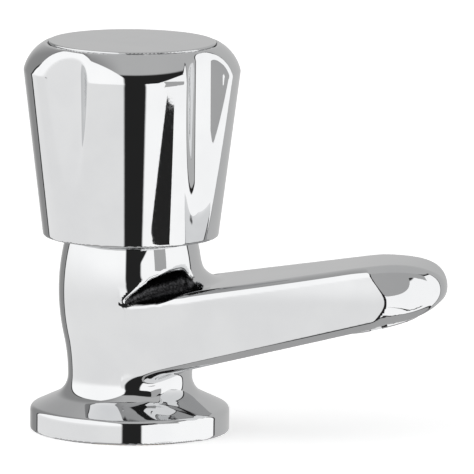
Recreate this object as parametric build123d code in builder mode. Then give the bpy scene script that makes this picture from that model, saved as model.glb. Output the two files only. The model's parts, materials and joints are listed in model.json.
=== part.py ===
from build123d import *
import os
from math import asin, cos, radians, sin, sqrt, tan

"""A basin pillar tap with a four-lobed handle, modelled as it comes apart on the bench.

Millimetres, +Z up along the spindle, +X along the spout. The origin is the centre of the
flange's underside, which is the plane of the basin's deck.
"""

# Fits
thread_clearance = 0.05    # radial, between plain cylinders that stand for mating threads
running_clearance = 0.05   # radial, between a turning shaft and its bore
slide_clearance = 0.1      # per side, between the square-on faces of the hexagon guide
seal_clearance = 0.06      # round rubber parts, so that they lie in their grooves

# Flange and column outline
flange_radius = 24.0
rim_height = 5.6
rim_corner = 1.4
foot_corner = 0.5
cone_angle = 24.0
cove_radius = 5.4
neck_radius = 14.9
neck_height = 13.3
belly_radius = 17.3
belly_height = 34.5
belly_curve = 52.0
column_top = 49.0

# Spout outline, seen from the side and from above
crest_at_axis = 33.4
crest_slope = 0.1725
crest_straight_end = 56.0
crest_handle = 18.0
spout_tip = (77.75, 37.65)
tip_handle = 3.75
belly_handle = 3.5
belly_line_at_axis = 12.7
belly_line_angle = 14.45
belly_line_end = 68.8
nose_start = 65.0
nose_half_width = 12.0
nose_turn_radius = 4.0
nose_turn = 10.0
nose_overrun = 1.4
spout_edge_radius = 3.8
root_station = 1.5
root_inset = 0.09
crease_radius = 4.5
crease_bite = 0.08
crease_steps = 90
crease_root = 1.6
crease_depth = 1.0
crease_reach_angle = radians(81)
crease_sections = 9

# Waterway
inlet_bore_radius = 6.25
seat_height = 22.0
seat_outer_radius = 8.0
chamber_floor = 19.5
chamber_radius = 9.3
chamber_top = 36.0
channel_radius = 5.2
channel_start_height = 28.6
channel_end = (63.0, 34.9)

# Tail: half-inch pipe thread below the deck
shank_radius = 10.48
shank_bore_radius = 6.5
shank_length_below = 50.0
shank_lead = 1.0
shank_relief_height = -36.0
shank_relief_width = 1.2
shank_relief_radius = 9.3
shank_socket_depth = 13.5
shank_seal_thickness = 1.5
gasket_inner_radius = 13.5
gasket_outer_radius = 19.5
gasket_thickness = 1.5
clamp_gap = 15.0
clamp_rubber_thickness = 3.0
clamp_rubber_outer_radius = 20.0
clamp_plate_thickness = 1.5
clamp_plate_outer_radius = 19.0
clamp_bore_radius = 10.8
backnut_across_flats = 30.0
backnut_height = 8.5
nut_corner = 2.4
nut_corner_slope = 0.58
nut_face_inset = 0.2

# Headwork
bonnet_thread_radius = 10.25
bonnet_skirt_radius = 9.0
bonnet_skirt_length = 2.0
bonnet_seal_thickness = 1.0
bonnet_seal_outer_radius = 13.0
bonnet_hex_across_flats = 24.0
bonnet_hex_height = 5.0
bonnet_neck_radius = 8.0
bonnet_neck_top = 63.0
guide_across_flats = 14.0
guide_top = 49.0
collar_gap = 0.5
collar_radius = 6.8
collar_height = 2.5
thrust_washer_thickness = 1.0
spindle_thread_radius = 4.95
spindle_bottom = 35.5
spindle_shaft_radius = 5.45
o_ring_section = 0.68
o_ring_groove_radius = 4.05
o_ring_groove_width = 1.6
o_ring_heights = (56.0, 59.6)
circlip_thickness = 1.0
circlip_outer_radius = 8.0
circlip_groove_radius = 4.6
circlip_gap = 0.2
circlip_rim = 0.4
circlip_opening = 3.4
spline_radius = 4.0
spline_teeth = 12
spline_depth = 0.45
spline_groove_width = 0.9
spline_bottom = 65.0
spindle_top = 74.0
screw_hole_radius = 2.05
screw_hole_bottom = 64.5

# Valve carriage
carriage_flange_radius = 8.75
carriage_flange_thickness = 2.5
carriage_hex_top = 43.5
carriage_bore_bottom = 30.0
valve_washer_thickness = 3.5
valve_washer_hole_radius = 2.2
washer_screw_head_radius = 3.5
washer_screw_head_height = 2.0
washer_screw_radius = 2.0
washer_screw_length = 6.5
washer_screw_room = 0.3

# Handle
handle_bottom = 47.5
handle_shoulder_height = 87.9
handle_shoulder_radius = 26.2
handle_bottom_radius = handle_shoulder_radius - 5.0
handle_shoulder_bulge = (handle_shoulder_radius - 1.45, handle_shoulder_height + 3.3)
shoulder_follow = 0.4
handle_top = handle_shoulder_height + 6.5
handle_crown_radius = handle_shoulder_radius - 5.0
handle_foot_corner = 0.5
handle_wall = 2.4
handle_lobes = 4
handle_rest_angle = 15.0
flute_depth_radius = handle_shoulder_radius - 4.6
flute_cut_radius = 10.3
flute_edge_radius = 0.6
cap_radius = handle_crown_radius - 1.0
cap_recess_depth = 1.6
cap_proud = 0.5
cap_edge_radius = 0.35
cap_clearance = 0.15
cap_plug_radius = 7.55
cap_plug_wall = 1.8
cap_groove_radius = 6.6
cap_plug_length = 6.0
cap_o_ring_section = 0.55
cap_o_ring_drop = 3.2
well_radius = 7.8
boss_wall = 1.9
boss_bottom = 65.5
insert_top = 76.0
web_thickness = 1.5
insert_radius = 6.6
insert_lugs = 2
insert_lug_height = 1.0
insert_lug_width = 2.4
spline_land = 0.3
spline_tip_gap = 0.25
rib_thickness = 1.6
rib_bottom = 70.0
handle_screw_head_radius = 3.6
handle_screw_head_height = 2.8
handle_screw_radius = 1.95
handle_screw_length = 11.5
handle_screw_crown = (0.62, 0.88)
handle_screw_slot = 0.9
handle_screw_cross = 4.0

# Outlet
outlet_station = 62.0
outlet_bore_radius = 8.3
outlet_land_radius = 9.6
outlet_land_depth = 0.9
aerator_collar_radius = 9.2
aerator_collar_height = 1.4
aerator_collar_chamfer = 0.3
aerator_notch_depth = 0.9
aerator_notch_width = 3.0
aerator_body_length = 6.8
aerator_bore_radius = 7.2
aerator_lip_radius = 6.2
aerator_lip_height = 0.8
aerator_screen_thickness = 0.7
aerator_screen_hole_radius = 0.75
aerator_screen_pitch = 2.3
aerator_screen_rows = 5
aerator_insert_height = 4.2
aerator_insert_wall = 0.9
aerator_washer_thickness = 1.3

os.makedirs("parts", exist_ok=True)


def finish(builder, label):
    """Names a finished piece and writes it."""
    builder.part.label = label
    export_step(builder.part, f"parts/{label}.step")


def column_radius(height):
    """The column's outer radius between its neck and its top."""
    if height >= inflection_height:
        return belly_radius - belly_curve + sqrt(belly_curve**2 - (height - belly_height) ** 2)
    return neck_radius + neck_curve - sqrt(neck_curve**2 - (height - neck_height) ** 2)


def belly_line(station):
    """Height of the spout's flat underside at a distance from the column's axis."""
    return belly_line_at_axis + station * tan(radians(belly_line_angle))


def crest_line(station):
    """Height of the spout's top at a distance from the column's axis."""
    return crest_at_axis + station * crest_slope


# The column's side is two arcs that meet in one tangent, upright at the neck and at the belly.
side_turn = 2 * asin(
    (belly_radius - neck_radius)
    / sqrt((belly_radius - neck_radius) ** 2 + (belly_height - neck_height) ** 2)
)
neck_curve = (belly_height - neck_height) / sin(side_turn) - belly_curve
inflection_height = belly_height - belly_curve * sin(side_turn)
cone_turn = radians(90 - cone_angle)
cove_foot = (
    neck_radius + cove_radius * (1 - cos(cone_turn)),
    neck_height - cove_radius * sin(cone_turn),
)


def column_side(inset):
    """The column's outer side from the neck up, drawn in the current line, moved inwards by inset."""
    middle_low = (neck_height + inflection_height) / 2
    middle_high = (inflection_height + column_top) / 2
    ThreePointArc(
        (neck_radius - inset, neck_height),
        (column_radius(middle_low) - inset, middle_low),
        (column_radius(inflection_height) - inset, inflection_height),
    )
    ThreePointArc(
        (column_radius(inflection_height) - inset, inflection_height),
        (column_radius(middle_high) - inset, middle_high),
        (column_radius(column_top) - inset, column_top),
    )


# Column and flange, one turned form
with BuildPart() as column:
    with BuildSketch(Plane.XZ) as column_half:
        with BuildLine():
            Line((0, 0), (flange_radius, 0))
            Line((flange_radius, 0), (flange_radius, rim_height))
            Line((flange_radius, rim_height), cove_foot)
            ThreePointArc(
                cove_foot,
                (
                    neck_radius + cove_radius * (1 - cos(cone_turn / 2)),
                    neck_height - cove_radius * sin(cone_turn / 2),
                ),
                (neck_radius, neck_height),
            )
            column_side(0)
            Line((column_radius(column_top), column_top), (0, column_top))
            Line((0, column_top), (0, 0))
        make_face()
        rim_points = column_half.vertices().group_by(Axis.X)[-1]
        fillet(rim_points.sort_by(Axis.Z)[-1], rim_corner)
        fillet(rim_points.sort_by(Axis.Z)[0], foot_corner)
    revolve(axis=Axis.Z)

# Spout: sides that leave the column in a tangent and narrow to a rounded nose
blade_floor = 8.0
taper = (column_radius(belly_height) - nose_half_width) / (nose_start - root_station)
with BuildPart() as spout:
    with BuildSketch(Plane.YZ.offset(root_station)):
        with BuildLine():
            Line((0, blade_floor), (neck_radius - root_inset, blade_floor))
            Line((neck_radius - root_inset, blade_floor), (neck_radius - root_inset, neck_height))
            column_side(root_inset)
            Line((column_radius(column_top) - root_inset, column_top), (0, column_top))
            mirror(about=Plane.YZ)
        make_face()
    with BuildSketch(Plane.YZ.offset(nose_start)):
        with BuildLine():
            Line((0, blade_floor), (nose_half_width, blade_floor))
            Line((nose_half_width, blade_floor), (nose_half_width, neck_height))
            Line((nose_half_width, neck_height), (nose_half_width, inflection_height))
            Line((nose_half_width, inflection_height), (nose_half_width, column_top))
            Line((nose_half_width, column_top), (0, column_top))
            mirror(about=Plane.YZ)
        make_face()
    loft(ruled=True)
    with BuildSketch(Plane.XY.offset(blade_floor)):
        with BuildLine():
            turn = JernArc((nose_start, nose_half_width), (1, -taper), nose_turn_radius, -nose_turn)
            Spline(turn @ 1, (spout_tip[0] + nose_overrun, 0), tangents=(turn % 1, (0, -1)))
            mirror(about=Plane.XZ)
            Line((nose_start, -nose_half_width), (nose_start, nose_half_width))
        make_face()
    extrude(amount=column_top - blade_floor)
    with BuildSketch(Plane.XZ):
        with BuildLine():
            top = Line((0, crest_line(0)), (crest_straight_end, crest_line(crest_straight_end)))
            low = Line((0, belly_line(0)), (belly_line_end, belly_line(belly_line_end)))
            Bezier(
                top @ 1,
                top @ 1 + crest_handle * (top % 1),
                (spout_tip[0], spout_tip[1] + tip_handle),
                spout_tip,
            )
            Bezier(
                spout_tip,
                (spout_tip[0], spout_tip[1] - tip_handle),
                low @ 1 + belly_handle * (low % 1),
                low @ 1,
            )
            Line(top @ 0, low @ 0)
        make_face()
    extrude(amount=2 * belly_radius, both=True, mode=Mode.INTERSECT)
    # the loops where the sides meet the top, the nose and the underside are rounded in one run
    loops = ShapeList()
    for profile_face in spout.faces().filter_by(
        lambda face: abs(face.normal_at().Y) < 0.02 and face.center().X > root_station + 1
    ):
        loops += profile_face.edges().filter_by(
            lambda edge: abs((edge @ 0.5).Y) > 1
            and (edge @ 0.5).X > root_station + 0.1
            and abs((edge % 0.5).Y) < 0.99
        )
    fillet(loops, spout_edge_radius)


def spout_top(station, offset):
    """Height of the spout's rounded top at a distance along it and a distance off its centre line."""
    from_side = belly_radius - root_inset - taper * (station - root_station) - abs(offset)
    if from_side <= 0:
        return 0
    rounding = max(0, spout_edge_radius - from_side)
    return crest_line(station) - spout_edge_radius + sqrt(spout_edge_radius**2 - rounding**2)


def crease_touch(angle):
    """A ball that lies in the crease between column and spout: its centre and where it touches the spout."""
    wall = column_radius(crest_line(0) + crease_radius / 2)
    centre = wall + crease_radius - crease_bite
    best_height, best_reach = -1, centre
    for step in range(crease_steps + 1):
        reach = wall + crease_radius * step / crease_steps
        top_here = spout_top(reach * cos(angle), reach * sin(angle))
        height = top_here + sqrt(crease_radius**2 - (centre - reach) ** 2)
        if height > best_height:
            best_height, best_reach = height, reach
    return centre, best_height - crease_bite, best_reach


# Crease: the hollow that a ball would leave round the column where the spout's top runs out
with BuildPart() as crease:
    for section in range(-crease_sections, crease_sections + 1):
        angle = crease_reach_angle * section / crease_sections
        centre, height, reach = crease_touch(angle)
        out, side = Vector(cos(angle), sin(angle), 0), Vector(sin(angle), -cos(angle), 0)
        end = height - sqrt(crease_radius**2 - (centre - reach) ** 2)
        start = centre - crease_radius
        half_turn = (asin((height - end) / crease_radius)) / 2
        with BuildSketch(Plane((0, 0, 0), x_dir=out, z_dir=side)):
            with BuildLine():
                Line((start - crease_root, height), (start, height))
                ThreePointArc(
                    (start, height),
                    (centre - crease_radius * cos(half_turn), height - crease_radius * sin(half_turn)),
                    (reach, end),
                )
                Line((reach, end), (reach, end - crease_depth))
                Line((reach, end - crease_depth), (start - crease_root, end - crease_depth))
                Line((start - crease_root, end - crease_depth), (start - crease_root, height))
            make_face()
    loft()


channel_start = (0, channel_start_height)
channel_length = sqrt(channel_end[0] ** 2 + (channel_end[1] - channel_start_height) ** 2)
outlet_bore_depth = aerator_body_length + aerator_washer_thickness
outlet_tilt = radians(belly_line_angle)
outlet_axis = Vector(sin(outlet_tilt), 0, -cos(outlet_tilt))
outlet_face = Plane(
    (outlet_station, 0, belly_line(outlet_station)), x_dir=(0, 1, 0), z_dir=outlet_axis
)
shank_socket_radius = shank_radius + thread_clearance
body_thread_radius = bonnet_thread_radius + thread_clearance

# Body: one casting of flange, column and spout, with the waterway cut through it
with BuildPart() as tap_body:
    add(column.part)
    add(spout.part)
    add(crease.part)
    # socket for the inlet shank, with the gasket's recess round it
    with BuildSketch(Plane.XY):
        Circle(shank_socket_radius)
    extrude(amount=shank_socket_depth, mode=Mode.SUBTRACT)
    with BuildSketch(Plane.XY):
        Circle(gasket_outer_radius + slide_clearance)
        Circle(gasket_inner_radius - slide_clearance, mode=Mode.SUBTRACT)
    extrude(amount=gasket_thickness, mode=Mode.SUBTRACT)
    # inlet, raised seat, valve chamber and the bonnet's thread, one turned cut
    with BuildSketch(Plane.XZ):
        with BuildLine():
            Polyline(
                (0, shank_socket_depth - 1),
                (inlet_bore_radius, shank_socket_depth - 1),
                (inlet_bore_radius, seat_height),
                (seat_outer_radius, seat_height),
                (seat_outer_radius, chamber_floor),
                (chamber_radius, chamber_floor),
                (chamber_radius, chamber_top),
                (body_thread_radius, chamber_top),
                (body_thread_radius, column_top + 1),
                (0, column_top + 1),
                close=True,
            )
        make_face()
    revolve(axis=Axis.Z, mode=Mode.SUBTRACT)
    # channel along the spout
    with BuildSketch(
        Plane(
            (channel_start[0], 0, channel_start[1]),
            x_dir=(0, 1, 0),
            z_dir=(channel_end[0], 0, channel_end[1] - channel_start_height),
        )
    ):
        Circle(channel_radius)
    extrude(amount=channel_length, mode=Mode.SUBTRACT)
    # outlet: a flat land and the threaded bore
    with BuildSketch(outlet_face.offset(1)):
        Circle(outlet_land_radius)
    extrude(amount=-1 - outlet_land_depth, mode=Mode.SUBTRACT)
    with BuildSketch(outlet_face):
        Circle(outlet_bore_radius)
    extrude(amount=-outlet_land_depth - outlet_bore_depth, mode=Mode.SUBTRACT)
finish(tap_body, "tap_body")


def turned(outline):
    """A turned piece from its half outline of radius and height points."""
    with BuildPart() as piece:
        with BuildSketch(Plane.XZ):
            with BuildLine():
                Polyline(*outline, close=True)
            make_face()
        revolve(axis=Axis.Z)
    return piece


def washer(inner, outer, bottom, top):
    """A flat ring."""
    return turned([(inner, bottom), (outer, bottom), (outer, top), (inner, top)])


def o_ring(section, groove_radius, height):
    """A round rubber ring that lies in a groove."""
    with BuildPart() as ring:
        with BuildSketch(Plane.XZ):
            with Locations((groove_radius + seal_clearance + section, height)):
                Circle(section)
        revolve(axis=Axis.Z)
    return ring


# Inlet shank: screwed into the body, open all the way
shank_top = shank_socket_depth - shank_seal_thickness
with BuildPart() as inlet_shank:
    with BuildSketch(Plane.XY.offset(-shank_length_below)):
        Circle(shank_radius)
    extrude(amount=shank_length_below + shank_top)
    with BuildSketch(Plane.XY.offset(-shank_length_below)):
        Circle(shank_bore_radius)
    extrude(amount=shank_length_below + shank_top, mode=Mode.SUBTRACT)
    chamfer(
        inlet_shank.edges().filter_by(GeomType.CIRCLE).group_by(Axis.Z)[0].sort_by(SortBy.RADIUS)[-1],
        length=shank_lead,
    )
    # run-out groove above the end that the supply connector screws on
    with BuildSketch(Plane.XY.offset(shank_relief_height)):
        Circle(shank_radius + shank_lead)
        Circle(shank_relief_radius, mode=Mode.SUBTRACT)
    extrude(amount=shank_relief_width, mode=Mode.SUBTRACT)
finish(inlet_shank, "inlet_shank")
finish(washer(shank_bore_radius, shank_radius - slide_clearance, shank_top, shank_socket_depth), "shank_seal")
finish(washer(gasket_inner_radius, gasket_outer_radius, 0, gasket_thickness), "base_gasket")

# Clamping set below the deck
clamp_rubber_bottom = -clamp_gap - clamp_rubber_thickness
clamp_plate_bottom = clamp_rubber_bottom - clamp_plate_thickness
finish(
    washer(clamp_bore_radius, clamp_rubber_outer_radius, clamp_rubber_bottom, -clamp_gap),
    "clamp_rubber_washer",
)
finish(
    washer(clamp_bore_radius, clamp_plate_outer_radius, clamp_plate_bottom, clamp_rubber_bottom),
    "clamp_plate_washer",
)
backnut_bore_radius = shank_radius + thread_clearance
nut_face_radius = backnut_across_flats / 2 - nut_face_inset
nut_point_radius = backnut_across_flats / 2 + nut_corner
nut_corner_drop = nut_corner * nut_corner_slope
with BuildPart() as backnut:
    with BuildSketch(Plane.XY.offset(clamp_plate_bottom)):
        RegularPolygon(backnut_across_flats / 2, 6, major_radius=False)
        Circle(backnut_bore_radius, mode=Mode.SUBTRACT)
    extrude(amount=-backnut_height)
    # the corners are turned off at both ends, as on bar stock
    with BuildSketch(Plane.XZ):
        with BuildLine():
            Polyline(
                (0, clamp_plate_bottom),
                (nut_face_radius, clamp_plate_bottom),
                (nut_point_radius, clamp_plate_bottom - nut_corner_drop),
                (nut_point_radius, clamp_plate_bottom - backnut_height + nut_corner_drop),
                (nut_face_radius, clamp_plate_bottom - backnut_height),
                (0, clamp_plate_bottom - backnut_height),
                close=True,
            )
        make_face()
    revolve(axis=Axis.Z, mode=Mode.INTERSECT)
finish(backnut, "backnut")

# Bonnet: screwed into the column, guides the valve carriage and holds the spindle
bonnet_hex_bottom = column_top + bonnet_seal_thickness
bonnet_hex_top = bonnet_hex_bottom + bonnet_hex_height
collar_bottom = guide_top + collar_gap
collar_top = collar_bottom + collar_height
thrust_top = collar_top + thrust_washer_thickness
collar_bore_radius = collar_radius + slide_clearance
spindle_bore_radius = spindle_shaft_radius + running_clearance
with BuildPart() as bonnet:
    with BuildSketch(Plane.XZ):
        with BuildLine():
            Polyline(
                (0, chamber_top - bonnet_skirt_length),
                (bonnet_skirt_radius, chamber_top - bonnet_skirt_length),
                (bonnet_skirt_radius, chamber_top),
                (bonnet_thread_radius, chamber_top),
                (bonnet_thread_radius, bonnet_hex_bottom + 1),
                (0, bonnet_hex_bottom + 1),
                close=True,
            )
        make_face()
    revolve(axis=Axis.Z)
    with BuildSketch(Plane.XY.offset(bonnet_hex_bottom)):
        RegularPolygon(bonnet_hex_across_flats / 2, 6, major_radius=False)
    extrude(amount=bonnet_hex_height)
    with BuildSketch(Plane.XY.offset(bonnet_hex_top)):
        Circle(bonnet_neck_radius)
    extrude(amount=bonnet_neck_top - bonnet_hex_top)
    with BuildSketch(Plane.XY.offset(chamber_top - bonnet_skirt_length)):
        RegularPolygon(guide_across_flats / 2, 6, major_radius=False)
    extrude(amount=guide_top - chamber_top + bonnet_skirt_length, mode=Mode.SUBTRACT)
    with BuildSketch(Plane.XY.offset(guide_top)):
        Circle(collar_bore_radius)
    extrude(amount=thrust_top - guide_top, mode=Mode.SUBTRACT)
    with BuildSketch(Plane.XY.offset(thrust_top)):
        Circle(spindle_bore_radius)
    extrude(amount=bonnet_neck_top - thrust_top, mode=Mode.SUBTRACT)
finish(bonnet, "bonnet")
finish(
    washer(bonnet_thread_radius + slide_clearance, bonnet_seal_outer_radius, column_top, bonnet_hex_bottom),
    "bonnet_seal",
)
finish(
    washer(spindle_shaft_radius + slide_clearance, collar_radius, collar_top, thrust_top),
    "thrust_washer",
)

# Spindle: left-hand thread below, collar, two seal grooves, circlip groove and splined end
circlip_bottom = bonnet_neck_top + circlip_gap
circlip_top = circlip_bottom + circlip_thickness
groove_half = o_ring_groove_width / 2
with BuildPart() as spindle:
    with BuildSketch(Plane.XZ):
        with BuildLine():
            Polyline(
                (0, spindle_bottom),
                (spindle_thread_radius, spindle_bottom),
                (spindle_thread_radius, collar_bottom),
                (collar_radius, collar_bottom),
                (collar_radius, collar_top),
                (spindle_shaft_radius, collar_top),
                (spindle_shaft_radius, o_ring_heights[0] - groove_half),
                (o_ring_groove_radius, o_ring_heights[0] - groove_half),
                (o_ring_groove_radius, o_ring_heights[0] + groove_half),
                (spindle_shaft_radius, o_ring_heights[0] + groove_half),
                (spindle_shaft_radius, o_ring_heights[1] - groove_half),
                (o_ring_groove_radius, o_ring_heights[1] - groove_half),
                (o_ring_groove_radius, o_ring_heights[1] + groove_half),
                (spindle_shaft_radius, o_ring_heights[1] + groove_half),
                (spindle_shaft_radius, circlip_bottom),
                (circlip_groove_radius, circlip_bottom),
                (circlip_groove_radius, circlip_top),
                (spindle_shaft_radius, circlip_top),
                (spindle_shaft_radius, spline_bottom),
                (spline_radius, spline_bottom),
                (spline_radius, spindle_top),
                (0, spindle_top),
                close=True,
            )
        make_face()
    revolve(axis=Axis.Z)
    with BuildSketch(Plane.XY.offset(spline_bottom)):
        with PolarLocations(spline_radius, spline_teeth):
            Rectangle(2 * spline_depth, spline_groove_width)
    extrude(amount=spindle_top - spline_bottom, mode=Mode.SUBTRACT)
    with BuildSketch(Plane.XY.offset(screw_hole_bottom)):
        Circle(screw_hole_radius)
    extrude(amount=spindle_top - screw_hole_bottom, mode=Mode.SUBTRACT)
finish(spindle, "spindle")
finish(o_ring(o_ring_section, o_ring_groove_radius, o_ring_heights[0]), "spindle_o_ring_lower")
finish(o_ring(o_ring_section, o_ring_groove_radius, o_ring_heights[1]), "spindle_o_ring_upper")

# Circlip: an open ring with a gap to spread it over the spindle
with BuildPart() as circlip:
    with BuildSketch(Plane.XY.offset(circlip_bottom)):
        Circle(circlip_outer_radius - circlip_rim)
        Circle(circlip_groove_radius + running_clearance, mode=Mode.SUBTRACT)
        with Locations((circlip_outer_radius / 2, 0)):
            Rectangle(circlip_outer_radius, circlip_opening, mode=Mode.SUBTRACT)
    extrude(amount=circlip_thickness)
finish(circlip, "circlip")

# Valve carriage: cannot turn in the bonnet's hexagon, so the spindle's thread lifts it
carriage_bottom = seat_height + valve_washer_thickness
carriage_flange_top = carriage_bottom + carriage_flange_thickness
with BuildPart() as valve_carriage:
    with BuildSketch(Plane.XY.offset(carriage_bottom)):
        Circle(carriage_flange_radius)
    extrude(amount=carriage_flange_thickness)
    with BuildSketch(Plane.XY.offset(carriage_flange_top)):
        RegularPolygon(guide_across_flats / 2 - slide_clearance, 6, major_radius=False)
    extrude(amount=carriage_hex_top - carriage_flange_top)
    with BuildSketch(Plane.XY.offset(carriage_bore_bottom)):
        Circle(spindle_thread_radius + running_clearance)
    extrude(amount=carriage_hex_top - carriage_bore_bottom, mode=Mode.SUBTRACT)
    with BuildSketch(Plane.XY.offset(carriage_bottom)):
        Circle(washer_screw_radius + thread_clearance)
    extrude(amount=washer_screw_length - valve_washer_thickness + washer_screw_room, mode=Mode.SUBTRACT)
finish(valve_carriage, "valve_carriage")
finish(
    washer(valve_washer_hole_radius, seat_outer_radius, seat_height, carriage_bottom),
    "valve_washer",
)
with BuildPart() as washer_screw:
    with BuildSketch(Plane.XY.offset(seat_height - washer_screw_head_height)):
        Circle(washer_screw_head_radius)
    extrude(amount=washer_screw_head_height)
    with BuildSketch(Plane.XY.offset(seat_height)):
        Circle(washer_screw_radius)
    extrude(amount=washer_screw_length)
    with BuildSketch(Plane.XY.offset(seat_height - washer_screw_head_height)):
        Rectangle(2 * washer_screw_head_radius, handle_screw_slot)
    extrude(amount=washer_screw_head_height / 2, mode=Mode.SUBTRACT)
finish(washer_screw, "washer_screw")


def knob_outline(inset, top):
    """Half outline of the handle's outside, drawn in the current line, moved in by inset."""
    Line((0, handle_bottom), (handle_bottom_radius - inset, handle_bottom))
    Line(
        (handle_bottom_radius - inset, handle_bottom),
        (handle_shoulder_radius - inset, handle_shoulder_height),
    )
    ThreePointArc(
        (handle_shoulder_radius - inset, handle_shoulder_height),
        (handle_shoulder_bulge[0] - inset, handle_shoulder_bulge[1] - shoulder_follow * (handle_top - top)),
        (handle_crown_radius - inset, top),
    )
    Line((handle_crown_radius - inset, top), (0, top))
    Line((0, top), (0, handle_bottom))


# Hollow of the handle: the outside moved in by the wall, flutes included
flute_axis_radius = flute_depth_radius + flute_cut_radius
flute_angle = handle_rest_angle + 180 / handle_lobes
cavity_top = handle_top - cap_recess_depth - handle_wall
well_floor = insert_top + web_thickness
with BuildPart() as handle_hollow:
    with BuildSketch(Plane.XZ):
        with BuildLine():
            knob_outline(handle_wall, cavity_top)
        make_face()
    revolve(axis=Axis.Z)
    with BuildSketch(Plane.XY.offset(handle_bottom)):
        with PolarLocations(flute_axis_radius, handle_lobes, start_angle=flute_angle):
            Circle(flute_cut_radius + handle_wall)
    extrude(amount=handle_top - handle_bottom, mode=Mode.SUBTRACT)

# Handle: fluted shell with a boss for the splined insert and a well for the screw
with BuildPart() as handle_ribs:
    with BuildSketch(Plane.XY.offset(rib_bottom)):
        with PolarLocations(0, handle_lobes // 2, start_angle=flute_angle, angular_range=180):
            Rectangle(2 * handle_shoulder_radius, rib_thickness)
    extrude(amount=cavity_top - rib_bottom)
    add(handle_hollow.part, mode=Mode.INTERSECT)

with BuildPart() as handle:
    with BuildSketch(Plane.XZ):
        with BuildLine():
            knob_outline(0, handle_top)
        make_face()
    revolve(axis=Axis.Z)
    foot = handle.edges().filter_by(GeomType.CIRCLE).group_by(Axis.Z)[0]
    fillet(foot, handle_foot_corner)
    with BuildSketch(Plane.XY.offset(handle_bottom)):
        with PolarLocations(flute_axis_radius, handle_lobes, start_angle=flute_angle):
            Circle(flute_cut_radius)
    extrude(amount=handle_top - handle_bottom, mode=Mode.SUBTRACT)
    flute_edges = handle.edges().filter_by(
        lambda edge: edge.geom_type not in (GeomType.CIRCLE, GeomType.LINE)
    )
    fillet(flute_edges, flute_edge_radius)
    add(handle_hollow.part, mode=Mode.SUBTRACT)
    add(handle_ribs.part)
    with BuildSketch(Plane.XY.offset(boss_bottom)):
        Circle(well_radius + boss_wall)
    extrude(amount=cavity_top - boss_bottom)
    with BuildSketch(Plane.XY.offset(handle_top - cap_recess_depth)):
        Circle(cap_radius + cap_clearance)
    extrude(amount=cap_recess_depth + 1, mode=Mode.SUBTRACT)
    with BuildSketch(Plane.XY.offset(well_floor)):
        Circle(well_radius)
    extrude(amount=handle_top - well_floor, mode=Mode.SUBTRACT)
    with BuildSketch(Plane.XY.offset(insert_top)):
        Circle(screw_hole_radius)
    extrude(amount=web_thickness, mode=Mode.SUBTRACT)
    with BuildSketch(Plane.XY.offset(boss_bottom)):
        Circle(insert_radius + thread_clearance)
        with PolarLocations(insert_radius, insert_lugs):
            Rectangle(2 * (insert_lug_height + thread_clearance), insert_lug_width + 2 * thread_clearance)
    extrude(amount=insert_top - boss_bottom, mode=Mode.SUBTRACT)
finish(handle, "handle")

# Splined bush between spindle and handle
spline_tooth_height = 2 * (spline_depth + spline_land) - spline_tip_gap
with BuildPart() as handle_insert:
    with BuildSketch(Plane.XY.offset(boss_bottom)):
        Circle(insert_radius)
        with PolarLocations(insert_radius, insert_lugs):
            Rectangle(2 * insert_lug_height, insert_lug_width)
        Circle(spline_radius + running_clearance, mode=Mode.SUBTRACT)
    extrude(amount=insert_top - boss_bottom)
    with BuildSketch(Plane.XY.offset(boss_bottom)):
        with PolarLocations(spline_radius + spline_land, spline_teeth):
            Rectangle(spline_tooth_height, spline_groove_width - 2 * slide_clearance)
    extrude(amount=spindle_top - boss_bottom)
    # cap of the bush, which the screw head clamps on the spindle's end
    with BuildSketch(Plane.XY.offset(spindle_top)):
        Circle(insert_radius)
        Circle(screw_hole_radius, mode=Mode.SUBTRACT)
    extrude(amount=insert_top - spindle_top)
finish(handle_insert, "handle_insert")

# Screw that clamps the handle and its bush on the spindle's end
screw_head_side = well_floor + handle_screw_head_height / 2
screw_head_top = well_floor + handle_screw_head_height
with BuildPart() as handle_screw:
    with BuildSketch(Plane.XZ):
        with BuildLine():
            Line((0, well_floor), (handle_screw_head_radius, well_floor))
            Line((handle_screw_head_radius, well_floor), (handle_screw_head_radius, screw_head_side))
            ThreePointArc(
                (handle_screw_head_radius, screw_head_side),
                (
                    handle_screw_head_radius * handle_screw_crown[0],
                    well_floor + handle_screw_head_height * handle_screw_crown[1],
                ),
                (0, screw_head_top),
            )
            Line((0, screw_head_top), (0, well_floor))
        make_face()
    revolve(axis=Axis.Z)
    with BuildSketch(Plane.XY.offset(well_floor)):
        Circle(handle_screw_radius)
    extrude(amount=-handle_screw_length)
    with BuildSketch(Plane.XY.offset(screw_head_side)):
        Rectangle(handle_screw_cross, handle_screw_slot)
        Rectangle(handle_screw_slot, handle_screw_cross)
    extrude(amount=handle_screw_head_height, mode=Mode.SUBTRACT)
finish(handle_screw, "handle_screw")

# Index cap: plain disc in the handle's top, held by a ring and its rubber in the well
cap_floor = handle_top - cap_recess_depth
with BuildPart() as index_cap:
    with BuildSketch(Plane.XY.offset(cap_floor)):
        Circle(cap_radius)
    extrude(amount=cap_recess_depth + cap_proud)
    fillet(index_cap.edges().filter_by(GeomType.CIRCLE).sort_by(Axis.Z)[-1], cap_edge_radius)
    with BuildSketch(Plane.XY.offset(cap_floor)):
        Circle(cap_plug_radius)
        Circle(cap_plug_radius - cap_plug_wall, mode=Mode.SUBTRACT)
    extrude(amount=-cap_plug_length)
    with BuildSketch(Plane.XY.offset(cap_floor - cap_o_ring_drop - cap_o_ring_section)):
        Circle(cap_plug_radius + 1)
        Circle(cap_groove_radius, mode=Mode.SUBTRACT)
    extrude(amount=2 * cap_o_ring_section, mode=Mode.SUBTRACT)
finish(index_cap, "index_cap")
finish(
    o_ring(cap_o_ring_section - seal_clearance, cap_groove_radius, cap_floor - cap_o_ring_drop),
    "cap_o_ring",
)

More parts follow.
